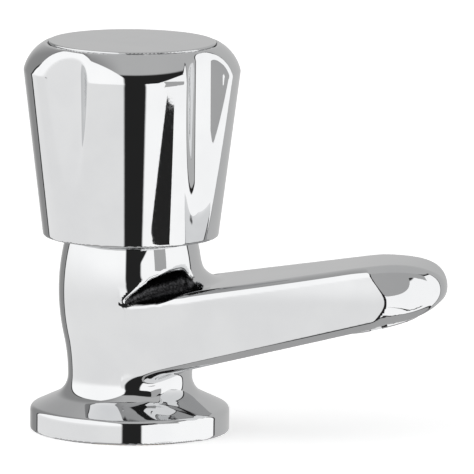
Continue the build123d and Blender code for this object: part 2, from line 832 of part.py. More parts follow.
# Outlet fittings, stacked along the tilted outlet axis
land = outlet_face.offset(-outlet_land_depth)
collar_face = land.offset(aerator_collar_height)
screen_face = collar_face.offset(-aerator_lip_height)
insert_face = screen_face.offset(-aerator_screen_thickness)
aerator_fit_radius = aerator_bore_radius - running_clearance
with BuildPart() as aerator_housing:
    with BuildSketch(land):
        Circle(aerator_collar_radius)
    extrude(amount=aerator_collar_height)
    chamfer(
        aerator_housing.edges().filter_by(GeomType.CIRCLE).sort_by(Axis.Z)[0],
        length=aerator_collar_chamfer,
    )
    with BuildSketch(land):
        Circle(outlet_bore_radius - thread_clearance)
    extrude(amount=-aerator_body_length)
    with BuildSketch(screen_face):
        Circle(aerator_bore_radius)
    extrude(amount=-aerator_body_length - aerator_collar_height, mode=Mode.SUBTRACT)
    with BuildSketch(collar_face):
        Circle(aerator_lip_radius)
    extrude(amount=-aerator_collar_height, mode=Mode.SUBTRACT)
    with BuildSketch(collar_face):
        with PolarLocations(aerator_collar_radius, 2):
            Rectangle(2 * aerator_notch_depth, aerator_notch_width)
    extrude(amount=-aerator_collar_height, mode=Mode.SUBTRACT)
finish(aerator_housing, "aerator_housing")

with BuildPart() as aerator_screen:
    with BuildSketch(screen_face):
        Circle(aerator_fit_radius)
        with HexLocations(aerator_screen_pitch / 2, aerator_screen_rows, aerator_screen_rows):
            Circle(aerator_screen_hole_radius, mode=Mode.SUBTRACT)
    extrude(amount=-aerator_screen_thickness)
finish(aerator_screen, "aerator_screen")

with BuildPart() as aerator_insert:
    with BuildSketch(insert_face):
        Circle(aerator_fit_radius)
        Circle(aerator_fit_radius - aerator_insert_wall, mode=Mode.SUBTRACT)
        with PolarLocations(0, 3, angular_range=180):
            Rectangle(2 * aerator_fit_radius - aerator_insert_wall, aerator_insert_wall)
    extrude(amount=-aerator_insert_height)
finish(aerator_insert, "aerator_insert")

with BuildPart() as aerator_washer:
    with BuildSketch(land.offset(-aerator_body_length)):
        Circle(outlet_bore_radius - slide_clearance)
        Circle(aerator_lip_radius, mode=Mode.SUBTRACT)
    extrude(amount=-aerator_washer_thickness)
finish(aerator_washer, "aerator_washer")
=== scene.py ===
"""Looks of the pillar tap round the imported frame: camera, studio, materials and redrawn curved pieces.

Metres, in the row's frame: +Z up along the spindle, +X along the spout, deck at z = 0. The redrawn
pieces are worked out in millimetres, and new_piece scales them. They have the sizes of the CAD source,
apart from the radii of their edges and the turn into the nose's facet, which follow the photograph.
"""

import bpy
import json
import numpy as np
from math import asin, atan, atan2, cos, degrees, pi, radians, sin, sqrt, tan
from mathutils import Matrix, Vector


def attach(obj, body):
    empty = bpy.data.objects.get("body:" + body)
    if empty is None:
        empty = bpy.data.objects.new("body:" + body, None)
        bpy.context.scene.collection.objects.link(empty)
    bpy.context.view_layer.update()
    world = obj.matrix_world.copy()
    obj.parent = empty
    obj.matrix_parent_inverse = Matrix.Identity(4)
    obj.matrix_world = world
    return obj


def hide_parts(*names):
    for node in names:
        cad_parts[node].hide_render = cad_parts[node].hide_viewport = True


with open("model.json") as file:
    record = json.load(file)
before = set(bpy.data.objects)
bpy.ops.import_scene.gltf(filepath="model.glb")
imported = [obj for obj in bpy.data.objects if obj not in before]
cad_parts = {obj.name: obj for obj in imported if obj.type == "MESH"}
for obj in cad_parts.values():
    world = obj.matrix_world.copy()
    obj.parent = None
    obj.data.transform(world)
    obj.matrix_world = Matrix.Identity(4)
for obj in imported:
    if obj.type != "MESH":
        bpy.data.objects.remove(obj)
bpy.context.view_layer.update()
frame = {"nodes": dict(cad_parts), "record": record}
nodes = frame["nodes"]

MM = 0.001


def link_new(name, data):
    """A new object with this data, linked into the scene."""
    obj = bpy.data.objects.new(name, data)
    bpy.context.scene.collection.objects.link(obj)
    return obj


# camera
CAMERA_AZIMUTH = radians(-78.5)
CAMERA_REACH, CAMERA_HEIGHT = 2.466, 0.445
AIM_RIGHT, AIM_HEIGHT = 0.0257, 0.04717
CAMERA_ROLL = radians(0.6)
SENSOR_WIDTH, CAMERA_LENS = 36.0, 784.75
CLIP_START, CLIP_END = 0.05, 20.0

toward = Vector((cos(CAMERA_AZIMUTH), sin(CAMERA_AZIMUTH), 0))
right = Vector((-sin(CAMERA_AZIMUTH), cos(CAMERA_AZIMUTH), 0))
eye = CAMERA_REACH * toward + Vector((0, 0, CAMERA_HEIGHT))
aim = AIM_RIGHT * right + Vector((0, 0, AIM_HEIGHT))
roll = Matrix.Rotation(CAMERA_ROLL, 3, "Z").to_quaternion()

camera = link_new("camera", bpy.data.cameras.new("camera"))
camera.location = eye
camera.rotation_mode = "QUATERNION"
camera.rotation_quaternion = (aim - eye).to_track_quat("-Z", "Y") @ roll
camera.data.sensor_width = SENSOR_WIDTH
camera.data.lens = CAMERA_LENS
camera.data.clip_start = CLIP_START
camera.data.clip_end = CLIP_END
bpy.context.scene.camera = camera
bpy.context.scene.view_settings.view_transform = "Standard"

# sockets of the Mix node, which has one pair for numbers and one for colours
NUMBER_A, NUMBER_B, NUMBER_OUT = 2, 3, 0
COLOUR_A, COLOUR_B, COLOUR_OUT = 6, 7, 2


class Graph:
    """Small helper that adds shader nodes and joins them."""

    def __init__(self, tree):
        self.tree = tree

    def add(self, kind, inputs=None, **settings):
        """A new node with its settings and inputs, which are sockets or plain values."""
        node = self.tree.nodes.new(kind)
        for key, value in settings.items():
            setattr(node, key, value)
        for key, value in (inputs or {}).items():
            self.feed(node.inputs[key], value)
        return node

    def feed(self, socket, value):
        """Links an output to the socket, or sets the socket's own value."""
        if isinstance(value, bpy.types.NodeSocket):
            self.tree.links.new(value, socket)
        else:
            socket.default_value = value

    def math(self, operation, a, b):
        """Arithmetic on two numbers or outputs."""
        return self.add("ShaderNodeMath", {0: a, 1: b}, operation=operation).outputs[0]

    def dot(self, a, b):
        """Dot product of two directions."""
        return self.add("ShaderNodeVectorMath", {0: a, 1: b}, operation="DOT_PRODUCT").outputs["Value"]

    def step(self, value, low, high, start=0.0, end=1.0):
        """Smooth step from start to end as value goes from low to high."""
        return self.add(
            "ShaderNodeMapRange",
            {"Value": value, "From Min": low, "From Max": high, "To Min": start, "To Max": end},
            interpolation_type="SMOOTHSTEP",
        ).outputs["Result"]

    def mix(self, factor, a, b):
        """Number a where factor is 0, number b where it is 1."""
        inputs = {0: factor, NUMBER_A: a, NUMBER_B: b}
        return self.add("ShaderNodeMix", inputs, data_type="FLOAT").outputs[NUMBER_OUT]

    def tint(self, factor, a, b):
        """Colour a where factor is 0, colour b where it is 1."""
        inputs = {0: factor, COLOUR_A: a, COLOUR_B: b}
        return self.add("ShaderNodeMix", inputs, data_type="RGBA").outputs[COLOUR_OUT]

    def place(self, stretch):
        """Place on the object, in metres, stretched by axis."""
        spot = self.add("ShaderNodeTexCoord").outputs["Object"]
        return self.add("ShaderNodeMapping", {"Vector": spot, "Scale": stretch}).outputs[0]

    def noise(self, scale, detail=3.0, rough=0.55, stretch=(1, 1, 1)):
        """Cloudy noise on the object; scale counts its features in a metre."""
        return self.add(
            "ShaderNodeTexNoise",
            {"Vector": self.place(stretch), "Scale": scale, "Detail": detail, "Roughness": rough},
        ).outputs[0]

    def bump(self, height, strength, distance):
        """Normal of a fine relief, whose full height is distance in metres."""
        return self.add(
            "ShaderNodeBump", {"Height": height, "Strength": strength, "Distance": distance}
        ).outputs["Normal"]


# studio
# Two large soft panels stand left and right of the camera with a dark gap between them. Above, behind
# and below the tap lie grey surfaces, each past a thin dark frame. Rims are (toward, right, up).
RIGHT_LIGHT, LEFT_LIGHT = 1.7, 1.75
LEFT_LOW, LEFT_FOOT = 1.33, 1.05
LEFT_FALL, LEFT_FOOT_FALL = (-0.22, 0.16), (-0.66, -0.60)
GAP_LIGHT = 0.03
GAP_LEFT, GAP_RIGHT, GAP_SOFT, GAP_START = -0.12, 0.225, 0.045, -0.005
LEFT_TOP_RIM = (-0.163, 0.902, 0.401)
LEFT_BACK_RIM = (-0.714, 0.654, 0.25)
RIGHT_BACK_RIM = (-0.909, -0.391, 0.146)
RIGHT_TOP_RIM = (0.014, -0.644, 0.765)
RIM_SOFT, RIM_LINE = 0.02, 0.05
MIDDLE = (-0.02, 0.0)
CEILING_EDGE = (0.68, 0.74)
LEFT_WALL, BACK_WALL, WALL_TURN = 0.42, 0.75, (-0.50, -0.10)
LOWER_EDGE, BENCH, LINE_WIDTH, EDGE_SOFT = -0.62, 0.62, 0.045, 0.02

world = bpy.data.worlds.new("studio")
bpy.context.scene.world = world
world.use_nodes = True
world.node_tree.nodes.clear()
sky = Graph(world.node_tree)
direction = sky.add("ShaderNodeTexCoord").outputs["Generated"]
front = sky.dot(direction, tuple(toward))
side = sky.dot(direction, tuple(right))
height = sky.dot(direction, (0.0, 0.0, 1.0))
seen_from = sky.add("ShaderNodeCombineXYZ", {0: front, 1: side, 2: height}).outputs[0]


def within(rim, margin=0.0):
    """1 on the panel's side of a straight rim, 0 beyond it by the margin."""
    return sky.step(sky.dot(seen_from, rim), margin - RIM_SOFT, margin, 1.0, 0.0)


def both(a, b):
    """1 where both masks are 1."""
    return sky.math("MULTIPLY", a, b)


beside_gap = sky.step(sky.math("SUBTRACT", GAP_LEFT, side), GAP_START, GAP_SOFT)
in_left = both(both(beside_gap, within(LEFT_TOP_RIM)), within(LEFT_BACK_RIM))
in_right = both(sky.step(side, GAP_RIGHT, GAP_RIGHT + GAP_SOFT), within(RIGHT_TOP_RIM))
in_right = both(in_right, within(RIGHT_BACK_RIM))
left_panel = sky.math(
    "MULTIPLY",
    sky.step(height, *LEFT_FALL, LEFT_LOW, LEFT_LIGHT),
    sky.step(height, *LEFT_FOOT_FALL, LEFT_FOOT / LEFT_LOW, 1.0),
)

# grey where neither panel stands: ceiling above the gap, wall behind the panels' back rims
past_left = both(sky.step(side, *MIDDLE, 1.0, 0.0), within(LEFT_BACK_RIM, RIM_LINE))
past_right = both(sky.step(side, *MIDDLE), within(RIGHT_BACK_RIM, RIM_LINE))
behind = sky.math("SUBTRACT", 1.0, sky.math("ADD", past_left, past_right))
open_air = sky.math("MAXIMUM", sky.step(height, *CEILING_EDGE), behind)
wall = sky.step(side, *WALL_TURN, LEFT_WALL, BACK_WALL)
above = sky.mix(open_air, GAP_LIGHT, wall)
above = sky.mix(in_left, above, left_panel)
above = sky.mix(in_right, above, RIGHT_LIGHT)
bench_line = sky.step(height, LOWER_EDGE - LINE_WIDTH - EDGE_SOFT, LOWER_EDGE - LINE_WIDTH, 1.0, 0.0)
below = sky.mix(bench_line, GAP_LIGHT, BENCH)
light = sky.mix(sky.step(height, LOWER_EDGE - EDGE_SOFT, LOWER_EDGE), below, above)
seen = sky.add("ShaderNodeLightPath").outputs["Is Camera Ray"]
background = sky.add("ShaderNodeBackground", {"Strength": sky.mix(seen, light, 1.0)})
sky.add("ShaderNodeOutputWorld", {"Surface": background.outputs[0]})

# floor and cards
FLOOR_HALF, FLOOR_SHADE, FLOOR_GLOW = 6.0, 0.92, 0.45
CARD_SHADE, CARD_ROUGHNESS, CARD_MOTTLE = 0.03, 0.95, 0.985
DARK_CARD_REACH, DARK_CARD_ANGLE, DARK_CARD_GLOW = 0.6, radians(40.5), 0.0
DARK_CARD = ((-0.151, -0.2), (0.1435, -0.2), (0.0735, -0.144), (-0.02, -0.144))
NOSE_CARD_REACH, NOSE_CARD_ANGLE, NOSE_CARD_GLOW = 0.1, 0.0, 0.5
NOSE_CARD = ((0.062, 0.050), (0.160, 0.050), (0.190, 0.150), (0.062, 0.130))


def plain_card(name, corners, shade, glow):
    """A flat stage surface with a faint mottle."""
    mesh = bpy.data.meshes.new(name)
    mesh.from_pydata(corners, [], [tuple(range(len(corners)))])
    card = link_new(name, mesh)
    made = bpy.data.materials.new(name)
    made.use_nodes = True
    graph, shader = Graph(made.node_tree), made.node_tree.nodes["Principled BSDF"]
    tone = graph.step(graph.noise(scale=2.0), low=0.3, high=0.7, start=shade * CARD_MOTTLE, end=shade)
    grey = graph.add("ShaderNodeCombineColor", {0: tone, 1: tone, 2: tone}).outputs[0]
    graph.feed(shader.inputs["Base Color"], grey)
    shader.inputs["Roughness"].default_value = CARD_ROUGHNESS
    shader.inputs["Specular IOR Level"].default_value = 0.0
    shader.inputs["Emission Color"].default_value = (1, 1, 1, 1)
    shader.inputs["Emission Strength"].default_value = glow
    mesh.materials.append(made)
    return card


def hidden_card(name, reach, angle, corners, glow):
    """A card round the tap, seen only in its mirror finish; corners are (sideways, up)."""
    out = toward * cos(angle) + right * sin(angle)
    sideways = right * cos(angle) - toward * sin(angle)
    places = [tuple(out * reach + sideways * a + Vector((0, 0, b))) for a, b in corners]
    card = plain_card(name, places, CARD_SHADE, glow)
    card.visible_camera = False
    card.visible_diffuse = False
    card.visible_shadow = False


# the floor is pale, seen by the camera and kept out of the mirror finish as a light tent's floor is
floor_corners = [(x * FLOOR_HALF, y * FLOOR_HALF, 0) for x, y in ((-1, -1), (1, -1), (1, 1), (-1, 1))]
floor = plain_card("floor", floor_corners, FLOOR_SHADE, FLOOR_GLOW)
floor.visible_glossy = False

# low at the front right, which the tapered handle mirrors as a dark wedge
hidden_card("dark_card", DARK_CARD_REACH, DARK_CARD_ANGLE, DARK_CARD, DARK_CARD_GLOW)
# in front of the spout's nose, which mirrors it as the grey of its upper half
hidden_card("nose_card", NOSE_CARD_REACH, NOSE_CARD_ANGLE, NOSE_CARD, NOSE_CARD_GLOW)

# materials
# Colours are linear. Each set starts with the two tones of the plain surface and may end with the
# tone of its worn edges.
CHROME = ((0.645, 0.65, 0.658, 1), (0.675, 0.68, 0.685, 1))
# painted shade: the two dark tones that darken the hollow between column and spout
HOLLOW_SHADE = ((0.012, 0.012, 0.013, 1), (0.075, 0.075, 0.078, 1))
BRASS = ((0.74, 0.55, 0.26, 1), (0.50, 0.34, 0.15, 1), (0.86, 0.70, 0.42, 1))
ZINC = ((0.52, 0.54, 0.57, 1), (0.66, 0.65, 0.60, 1), (0.78, 0.78, 0.78, 1))
RUBBER = ((0.017, 0.017, 0.018, 1), (0.055, 0.055, 0.055, 1), (0.09, 0.09, 0.09, 1))
FIBRE = ((0.34, 0.075, 0.05, 1), (0.52, 0.17, 0.11, 1))
NYLON = ((0.78, 0.78, 0.75, 1), (0.86, 0.86, 0.84, 1), (0.92, 0.92, 0.9, 1))
POLISH_STRETCH, RING_STRETCH, SHEET_STRETCH = (1, 1, 6), (0.05, 0.05, 1), (1, 1, 3)
# heights of fine relief, in metres
FINE, FINEST = 0.0002, 0.0001
FRAY, DULL_ROUGHNESS, TARNISH_ROUGHNESS, NYLON_SCATTER = 0.35, 0.22, 0.12, 0.08
# painted shade: name of the vertex mask that marks where the hollow is darkened
PAINTED_SHADE_ATTRIBUTE = "painted_shade"


def material(name, metallic=0.0):
    """A new material with its graph and its shader."""
    made = bpy.data.materials.new(name)
    made.use_nodes = True
    shader = made.node_tree.nodes["Principled BSDF"]
    shader.inputs["Metallic"].default_value = metallic
    return made, Graph(made.node_tree), shader


def dress(g, shader, colour, roughness, normal):
    """Feeds what differs over the surface into the shader."""
    g.feed(shader.inputs["Base Color"], colour)
    g.feed(shader.inputs["Roughness"], roughness)
    g.feed(shader.inputs["Normal"], normal)


def edges(g):
    """1 on worn outer edges, broken up by a noise."""
    sharp = g.add("ShaderNodeNewGeometry").outputs["Pointiness"]
    broken = g.step(g.noise(scale=900, detail=4), low=0.35, high=0.6)
    return g.math("MULTIPLY", g.step(sharp, low=0.52, high=0.62), broken)


def chrome_plate(name, pocket=False):
    """Mirror chrome with polishing marks; with a pocket, painted shade darkens the masked hollow, which is
    also made rougher.
    """
    made, g, shader = material(name, metallic=1.0)
    colour = g.tint(g.step(g.noise(scale=70), low=0.3, high=0.7), *CHROME)
    marks = g.noise(scale=420, detail=5, rough=0.7, stretch=POLISH_STRETCH)
    swirls = g.step(g.noise(scale=35, detail=2), low=0.5, high=0.75, start=0.0, end=0.02)
    rough = g.math("ADD", g.step(marks, low=0.45, high=0.8, start=0.018, end=0.05), swirls)
    if pocket:
        # painted shade: the hollow under the handle is darkened to a near-black mottle; it is also made
        # rougher, with a fine bump
        shade_mask = g.add("ShaderNodeAttribute", attribute_name=PAINTED_SHADE_ATTRIBUTE).outputs["Fac"]
        grain = g.noise(scale=1500, detail=4, rough=0.7)
        frayed = g.math("MULTIPLY", g.math("SUBTRACT", grain, 0.5), FRAY)
        # painted shade and a rougher finish: this mixes in the dark tones and adds roughness
        dull = g.step(g.math("ADD", shade_mask, frayed), low=0.35, high=0.65)
        colour = g.tint(dull, colour, g.tint(g.step(grain, low=0.35, high=0.7), *HOLLOW_SHADE))
        rough = g.math("ADD", rough, g.math("MULTIPLY", dull, DULL_ROUGHNESS))
        normal = g.bump(g.math("MULTIPLY", grain, dull), strength=0.25, distance=FINE)
    else:
        normal = g.bump(g.noise(scale=260), strength=0.02, distance=FINEST)
    dress(g, shader, colour, rough, normal)
    return made


def machined_brass():
    """Turned brass: clouds of tarnish, fine lathe rings and bright edges."""
    made, g, shader = material("machined_brass", metallic=1.0)
    fresh, dull, worn = BRASS
    tarnish = g.step(g.noise(scale=160, detail=4), low=0.42, high=0.7)
    colour = g.tint(edges(g), g.tint(tarnish, fresh, dull), worn)
    rings = g.noise(scale=1100, detail=2, rough=0.5, stretch=RING_STRETCH)
    grooved = g.step(rings, low=0.3, high=0.7, start=0.18, end=0.32)
    rough = g.math("ADD", grooved, g.math("MULTIPLY", tarnish, TARNISH_ROUGHNESS))
    dress(g, shader, colour, rough, g.bump(rings, strength=0.12, distance=FINE))
    return made


def zinc_steel():
    """Zinc-plated steel with a faint spangle."""
    made, g, shader = material("zinc_steel", metallic=1.0)
    blue, yellow, worn = ZINC
    spangle = g.noise(scale=300, detail=4, rough=0.65)
    colour = g.tint(edges(g), g.tint(g.step(spangle, low=0.35, high=0.65), blue, yellow), worn)
    rough = g.step(spangle, low=0.3, high=0.7, start=0.26, end=0.44)
    dress(g, shader, colour, rough, g.bump(g.noise(scale=1300, detail=4), strength=0.1, distance=FINE))
    return made


def black_rubber():
    """Matt rubber with a pale bloom."""
    made, g, shader = material("black_rubber")
    black, dusty, worn = RUBBER
    bloom = g.step(g.noise(scale=120, detail=5, rough=0.6), low=0.45, high=0.75)
    colour = g.tint(edges(g), g.tint(bloom, black, dusty), worn)
    rough = g.step(bloom, low=0.0, high=1.0, start=0.55, end=0.85)
    dress(g, shader, colour, rough, g.bump(g.noise(scale=2400, detail=4), strength=0.2, distance=FINE))
    return made


def red_fibre():
    """Pressed fibre sheet with flecks."""
    made, g, shader = material("red_fibre")
    flecks = g.noise(scale=1800, detail=5, rough=0.7, stretch=SHEET_STRETCH)
    colour = g.tint(g.step(flecks, low=0.35, high=0.7), *FIBRE)
    rough = g.step(flecks, low=0.3, high=0.7, start=0.7, end=0.92)
    dress(g, shader, colour, rough, g.bump(flecks, strength=0.25, distance=FINE))
    return made


def white_nylon():
    """Moulded nylon, slightly translucent."""
    made, g, shader = material("white_nylon")
    shaded, plain, worn = NYLON
    cloud = g.step(g.noise(scale=180), low=0.35, high=0.65)
    colour = g.tint(edges(g), g.tint(cloud, shaded, plain), worn)
    rough = g.step(g.noise(scale=900, detail=4), low=0.3, high=0.7, start=0.34, end=0.5)
    dress(g, shader, colour, rough, g.bump(g.noise(scale=1500), strength=0.06, distance=FINE))
    shader.inputs["Subsurface Weight"].default_value = NYLON_SCATTER
    shader.inputs["Subsurface Radius"].default_value = (MM, MM, MM)
    return made


chrome = chrome_plate("chrome_plate")
# this chrome has painted shade in the body's hollow between column and spout
chrome_painted_shade = chrome_plate("chrome_painted_shade", pocket=True)
finishes = {
    "chrome": chrome, "brass": machined_brass(), "steel": zinc_steel(), "rubber": black_rubber(),
    "fibre": red_fibre(), "nylon": white_nylon(),
}
for part in frame["record"]["subparts"]:
    mesh = nodes[part["node"]].data
    finish = finishes[part["material_slot"]]
    if mesh.materials:
        for k in range(len(mesh.materials)):
            mesh.materials[k] = finish
    else:
        mesh.materials.append(finish)

# smooth solids in mesh code
# The body and the handle are redrawn here with true curves, in millimetres: each is a signed distance,
# sampled on a grid and turned into a mesh with exact normals. The tail is redrawn with its thread.
TABLE_PITCH = 0.125
FULL_PITCH, QUICK_PITCH = 0.5, 0.7
GRID_PITCH = FULL_PITCH
FAR, TINY = 1e9, 1e-12
# keeps a place inside the table's last cell
INNER_STEP = 1.001
# passes that pull the vertices onto the surface, the longest pull as a share of the pitch, the least
# slope that a pull reckons with, and the reach over which slopes are measured
SETTLE_PASSES, SETTLE_LIMIT, LEAST_SLOPE, SLOPE_REACH = 3, 0.4, 0.2, 0.2


class Outline:
    """Signed distance to a closed outline in a plane, kept as a table softened in a few passes."""

    def __init__(self, points, low, high, passes=2):
        points = np.asarray(points, float)
        self.low = low
        across = np.arange(low[0], high[0] + TABLE_PITCH, TABLE_PITCH)
        up = np.arange(low[1], high[1] + TABLE_PITCH, TABLE_PITCH)
        x, y = np.meshgrid(across, up, indexing="ij")
        nearest = np.full(x.shape, FAR)
        inside = np.zeros(x.shape, bool)
        for a, b in zip(points, np.roll(points, -1, 0)):
            run = b - a
            square = run @ run
            if square < TINY:
                continue
            off_x, off_y = x - a[0], y - a[1]
            t = np.clip((off_x * run[0] + off_y * run[1]) / square, 0, 1)
            nearest = np.minimum(nearest, (off_x - run[0] * t) ** 2 + (off_y - run[1] * t) ** 2)
            if abs(run[1]) > TINY:
                crossed = x < a[0] + off_y * run[0] / run[1]
                inside ^= ((a[1] <= y) != (b[1] <= y)) & crossed
        table = np.sqrt(nearest)
        table[inside] *= -1
        for _ in range(passes):
            table[1:-1] = 0.25 * table[:-2] + 0.5 * table[1:-1] + 0.25 * table[2:]
            table[:, 1:-1] = 0.25 * table[:, :-2] + 0.5 * table[:, 1:-1] + 0.25 * table[:, 2:]
        self.table = table

    def __call__(self, x, y):
        """Distance at each point, blended from the four table values round it."""
        t = self.table
        i = np.clip((x - self.low[0]) / TABLE_PITCH, 0, t.shape[0] - INNER_STEP)
        j = np.clip((y - self.low[1]) / TABLE_PITCH, 0, t.shape[1] - INNER_STEP)
        i0, j0 = i.astype(np.int32), j.astype(np.int32)
        fi, fj = i - i0, j - j0
        return (
            t[i0, j0] * (1 - fi) * (1 - fj) + t[i0 + 1, j0] * fi * (1 - fj)
            + t[i0, j0 + 1] * (1 - fi) * fj + t[i0 + 1, j0 + 1] * fi * fj
        )


def smooth(value, low, high):
    """0 up to low, 1 from high on, and a soft step between them."""
    t = np.clip((value - low) / (high - low), 0, 1)
    return t * t * (3 - 2 * t)


def round_union(a, b, radius):
    """Either a or b, with the corner between them filled to a radius."""
    u, v = np.maximum(radius - a, 0), np.maximum(radius - b, 0)
    return np.maximum(radius, np.minimum(a, b)) - np.sqrt(u * u + v * v)


def round_cut(a, b, radius):
    """Both a and b, with their common edge rounded."""
    u, v = np.maximum(radius + a, 0), np.maximum(radius + b, 0)
    return np.minimum(-radius, np.maximum(a, b)) + np.sqrt(u * u + v * v)


def mirrored(points):
    """A closed outline, symmetric about y = 0, from its upper half."""
    return points + [(x, -y) for x, y in points[::-1]]


def turned(points):
    """A closed outline from the half of it beside the axis; points are (radius, height)."""
    return points + [(-r, z) for r, z in points[::-1]]


def arc_points(centre, radius, start, end, count=40):
    """Points on an arc between two angles in degrees."""
    angles = [radians(start + (end - start) * k / count) for k in range(count + 1)]
    return [(centre[0] + radius * cos(a), centre[1] + radius * sin(a)) for a in angles]


def rounded_corner(before, corner, after, radius, count=24):
    """Points of the arc that rounds a corner."""
    before, corner, after = (Vector(p) for p in (before, corner, after))
    u, v = (before - corner).normalized(), (after - corner).normalized()
    half = u.angle(v) / 2
    centre = corner + (u + v).normalized() * radius / sin(half)
    first, last = corner + u * radius / tan(half), corner + v * radius / tan(half)
    sweep = (first - centre).angle_signed(last - centre)
    turns = [Matrix.Rotation(-sweep * k / count, 2) for k in range(count + 1)]
    return [tuple(centre + turn @ (first - centre)) for turn in turns]


def bezier_points(p0, p1, p2, p3, count=90):
    """Points of a cubic curve from p0 to p3."""
    out = []
    for k in range(count + 1):
        t = k / count
        weights = ((1 - t) ** 3, 3 * (1 - t) ** 2 * t, 3 * (1 - t) * t * t, t**3)
        out.append(tuple(sum(w * p[c] for w, p in zip(weights, (p0, p1, p2, p3))) for c in (0, 1)))
    return out


def tube(points, start, end, radius):
    """Signed distance to a plain round bore between two points."""
    start, end = np.array(start, float), np.array(end, float)
    along = end - start
    length = np.linalg.norm(along)
    along /= length
    t = (points - start) @ along
    off = np.linalg.norm(points - start - t[:, None] * along, axis=1)
    return np.maximum(off - radius, np.maximum(-t, t - length))


def polygonize(field, low, high, pitch):
    """Vertices and quads of the surface where field is zero, one vertex in each cell it crosses."""
    low = np.array(low, float)
    size = [int(round((h - l) / pitch)) + 1 for l, h in zip(low, high)]
    axes = [low[k] + pitch * np.arange(size[k]) for k in range(3)]
    grid = np.stack(np.meshgrid(*axes, indexing="ij"), -1).reshape(-1, 3)
    values = field(grid).reshape(size)
    inside = values < 0
    cell_size = [n - 1 for n in size]
    cell_corners = [(i, j, k) for i in (0, 1) for j in (0, 1) for k in (0, 1)]
    filled = sum(
        inside[i: i + cell_size[0], j: j + cell_size[1], k: k + cell_size[2]].astype(np.int8)
        for i, j, k in cell_corners
    )
    active = (filled > 0) & (filled < len(cell_corners))
    cells = np.argwhere(active)
    index = np.full(cell_size, -1, np.int64)
    index[active] = np.arange(len(cells))
    # each vertex is the mean of the points where the surface cuts its cell's edges
    total, count = np.zeros((len(cells), 3)), np.zeros(len(cells))
    for a in cell_corners:
        for axis in range(3):
            if a[axis]:
                continue
            b = list(a)
            b[axis] = 1
            va = values[tuple((cells + a).T)]
            vb = values[tuple((cells + b).T)]
            cross = (va < 0) != (vb < 0)
            t = np.where(cross, va / np.where(cross, va - vb, 1), 0)
            point = np.tile(np.array(a, float), (len(cells), 1))
            point[:, axis] = t
            total[cross] += point[cross]
            count += cross
    points = low + (cells + total / count[:, None]) * pitch
    # each grid edge that the surface cuts gets a quad of the four cells round it
    quads = []
    for axis in range(3):
        u, v = (axis + 1) % 3, (axis + 2) % 3
        first, second = [slice(None)] * 3, [slice(None)] * 3
        first[axis], second[axis] = slice(0, -1), slice(1, None)
        a, b = inside[tuple(first)], inside[tuple(second)]
        place = np.argwhere(a != b)
        has_ring = (place[:, u] > 0) & (place[:, v] > 0)
        has_ring &= (place[:, u] < cell_size[u]) & (place[:, v] < cell_size[v])
        place = place[has_ring]
        leaving = a[tuple(place.T)]
        du, dv = np.zeros(3, int), np.zeros(3, int)
        du[u], dv[v] = 1, 1
        ring = np.stack([index[tuple((place - o).T)] for o in (0 * du, du, du + dv, dv)], 1)
        ring[~leaving] = ring[~leaving][:, ::-1]
        quads.append(ring)
    return points, np.concatenate(quads)


def gradient(field, points):
    """Slope of the field at each point, along the three axes."""
    out = np.empty_like(points)
    for axis in range(3):
        shift = np.zeros(3)
        shift[axis] = SLOPE_REACH
        out[:, axis] = (field(points + shift) - field(points - shift)) / (2 * SLOPE_REACH)
    return out


def new_piece(name, points, faces, normals, made, body, replaced):
    """A smooth mesh piece, points in millimetres, that stands for CAD nodes."""
    mesh = bpy.data.meshes.new(name)
    corners = faces.shape[1]
    mesh.vertices.add(len(points))
    mesh.vertices.foreach_set("co", (points * MM).ravel())
    mesh.loops.add(faces.size)
    mesh.loops.foreach_set("vertex_index", faces.ravel())
    mesh.polygons.add(len(faces))
    mesh.polygons.foreach_set("loop_start", corners * np.arange(len(faces)))
    mesh.polygons.foreach_set("use_smooth", np.ones(len(faces), bool))
    mesh.update(calc_edges=True)
    mesh.validate()
    if normals is not None:
        mesh.normals_split_custom_set_from_vertices(normals.tolist())
    mesh.materials.append(made)
    piece = link_new(name, mesh)
    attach(piece, body)
    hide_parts(*replaced)
    return piece


def solid_piece(name, field, box, bottom, made, body, replaced, mask=None):
    """A mesh piece from a signed distance in millimetres, with the distance's own normals.

    The box holds the piece, bottom is the height of its flat underside, and mask gives how far painted
    shade covers each vertex.
    """
    points, quads = polygonize(field, *box, GRID_PITCH)
    for _ in range(SETTLE_PASSES):
        slope = gradient(field, points)
        step = field(points) / np.maximum((slope**2).sum(1), LEAST_SLOPE)
        limit = SETTLE_LIMIT * GRID_PITCH
        points -= np.clip(step, -limit, limit)[:, None] * slope
    points[:, 2] = np.maximum(points[:, 2], bottom)
    slope = gradient(field, points)
    normals = slope / np.maximum(np.linalg.norm(slope, axis=1), TINY)[:, None]
    piece = new_piece(name, points, quads, normals, made, body, replaced)
    # painted shade: the mask is kept on the vertices, where the chrome darkens
    if mask:
        amount = mask(points).astype(np.float32)
        piece.data.attributes.new(PAINTED_SHADE_ATTRIBUTE, "FLOAT", "POINT").data.foreach_set("value", amount)


# body: flange, column and spout, with lengths in millimetres and angles in degrees
FLANGE_RADIUS, RIM_HEIGHT, RIM_CORNER, FOOT_CORNER = 24.0, 5.6, 1.4, 0.5
CONE_ANGLE, COVE_RADIUS = 24.0, 5.4
NECK_RADIUS, NECK_HEIGHT = 14.9, 13.3
BELLY_RADIUS, BELLY_HEIGHT, BELLY_CURVE, COLUMN_TOP = 17.3, 34.5, 52.0, 49.0
COLUMN_STEPS = 140
CREST_AT_AXIS, CREST_SLOPE, CREST_END, CREST_HANDLE = 33.4, 0.1725, 56.0, 18.0
SPOUT_TIP, TIP_HANDLE, BELLY_HANDLE = (77.75, 37.65), 3.75, 3.5
BELLY_LINE_AT_AXIS, BELLY_LINE_ANGLE, BELLY_LINE_END = 12.7, 14.45, 68.8
